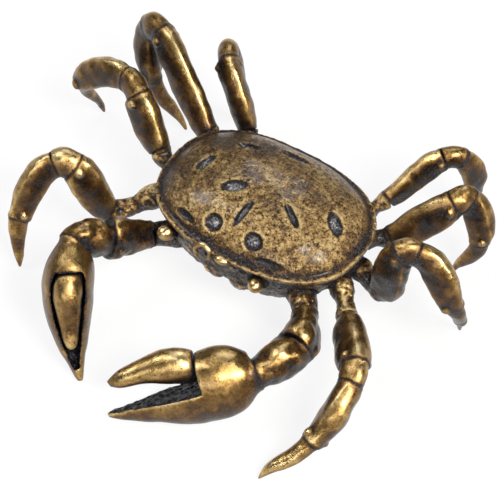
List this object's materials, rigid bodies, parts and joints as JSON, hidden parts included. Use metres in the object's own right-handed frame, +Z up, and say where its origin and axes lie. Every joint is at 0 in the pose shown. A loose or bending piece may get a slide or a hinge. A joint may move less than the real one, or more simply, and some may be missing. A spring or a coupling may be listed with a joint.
{
  "type": "crab figurine",
  "caption": "Small brass crab ornament: pitted domed carapace on an underbody, one open and one closed claw, bent jointed legs standing on their tips.",
  "frame": {"origin": "centre of the crab's floor box, on the floor", "axes": "the crab faces -Y, its own left is +X, +Z is up from the floor"},
  "size_m": [0.0614, 0.0522, 0.0184],
  "materials": {
    "antique_brass": "antiqued, dark patina in the hollows and polished high spots"
  },
  "bodies": {
    "root": {"carapace": "antique_brass", "left_claw_arm": "antique_brass", "left_claw_finger": "antique_brass", "left_claw_hand": "antique_brass", "left_claw_shoulder": "antique_brass", "left_claw_wrist": "antique_brass", "left_eye": "antique_brass", "left_leg_1_hip": "antique_brass", "left_leg_1_knee": "antique_brass", "left_leg_1_shin": "antique_brass", "left_leg_1_thigh": "antique_brass", "left_leg_1_tip": "antique_brass", "left_leg_2_hip": "antique_brass", "left_leg_2_knee": "antique_brass", "left_leg_2_shin": "antique_brass", "left_leg_2_thigh": "antique_brass", "left_leg_2_tip": "antique_brass", "left_leg_3_hip": "antique_brass", "left_leg_3_knee": "antique_brass", "left_leg_3_shin": "antique_brass", "left_leg_3_thigh": "antique_brass", "left_leg_3_tip": "antique_brass", "left_leg_4_hip": "antique_brass", "left_leg_4_knee": "antique_brass", "left_leg_4_shin": "antique_brass", "left_leg_4_thigh": "antique_brass", "left_leg_4_tip": "antique_brass", "right_claw_arm": "antique_brass", "right_claw_finger": "antique_brass", "right_claw_hand": "antique_brass", "right_claw_shoulder": "antique_brass", "right_claw_wrist": "antique_brass", "right_eye": "antique_brass", "right_leg_1_hip": "antique_brass", "right_leg_1_knee": "antique_brass", "right_leg_1_shin": "antique_brass", "right_leg_1_thigh": "antique_brass", "right_leg_1_tip": "antique_brass", "right_leg_2_hip": "antique_brass", "right_leg_2_knee": "antique_brass", "right_leg_2_shin": "antique_brass", "right_leg_2_thigh": "antique_brass", "right_leg_2_tip": "antique_brass", "right_leg_3_hip": "antique_brass", "right_leg_3_knee": "antique_brass", "right_leg_3_shin": "antique_brass", "right_leg_3_thigh": "antique_brass", "right_leg_3_tip": "antique_brass", "right_leg_4_hip": "antique_brass", "right_leg_4_knee": "antique_brass", "right_leg_4_shin": "antique_brass", "right_leg_4_thigh": "antique_brass", "right_leg_4_tip": "antique_brass", "thorax": "antique_brass"}
  },
  "joints": []
}
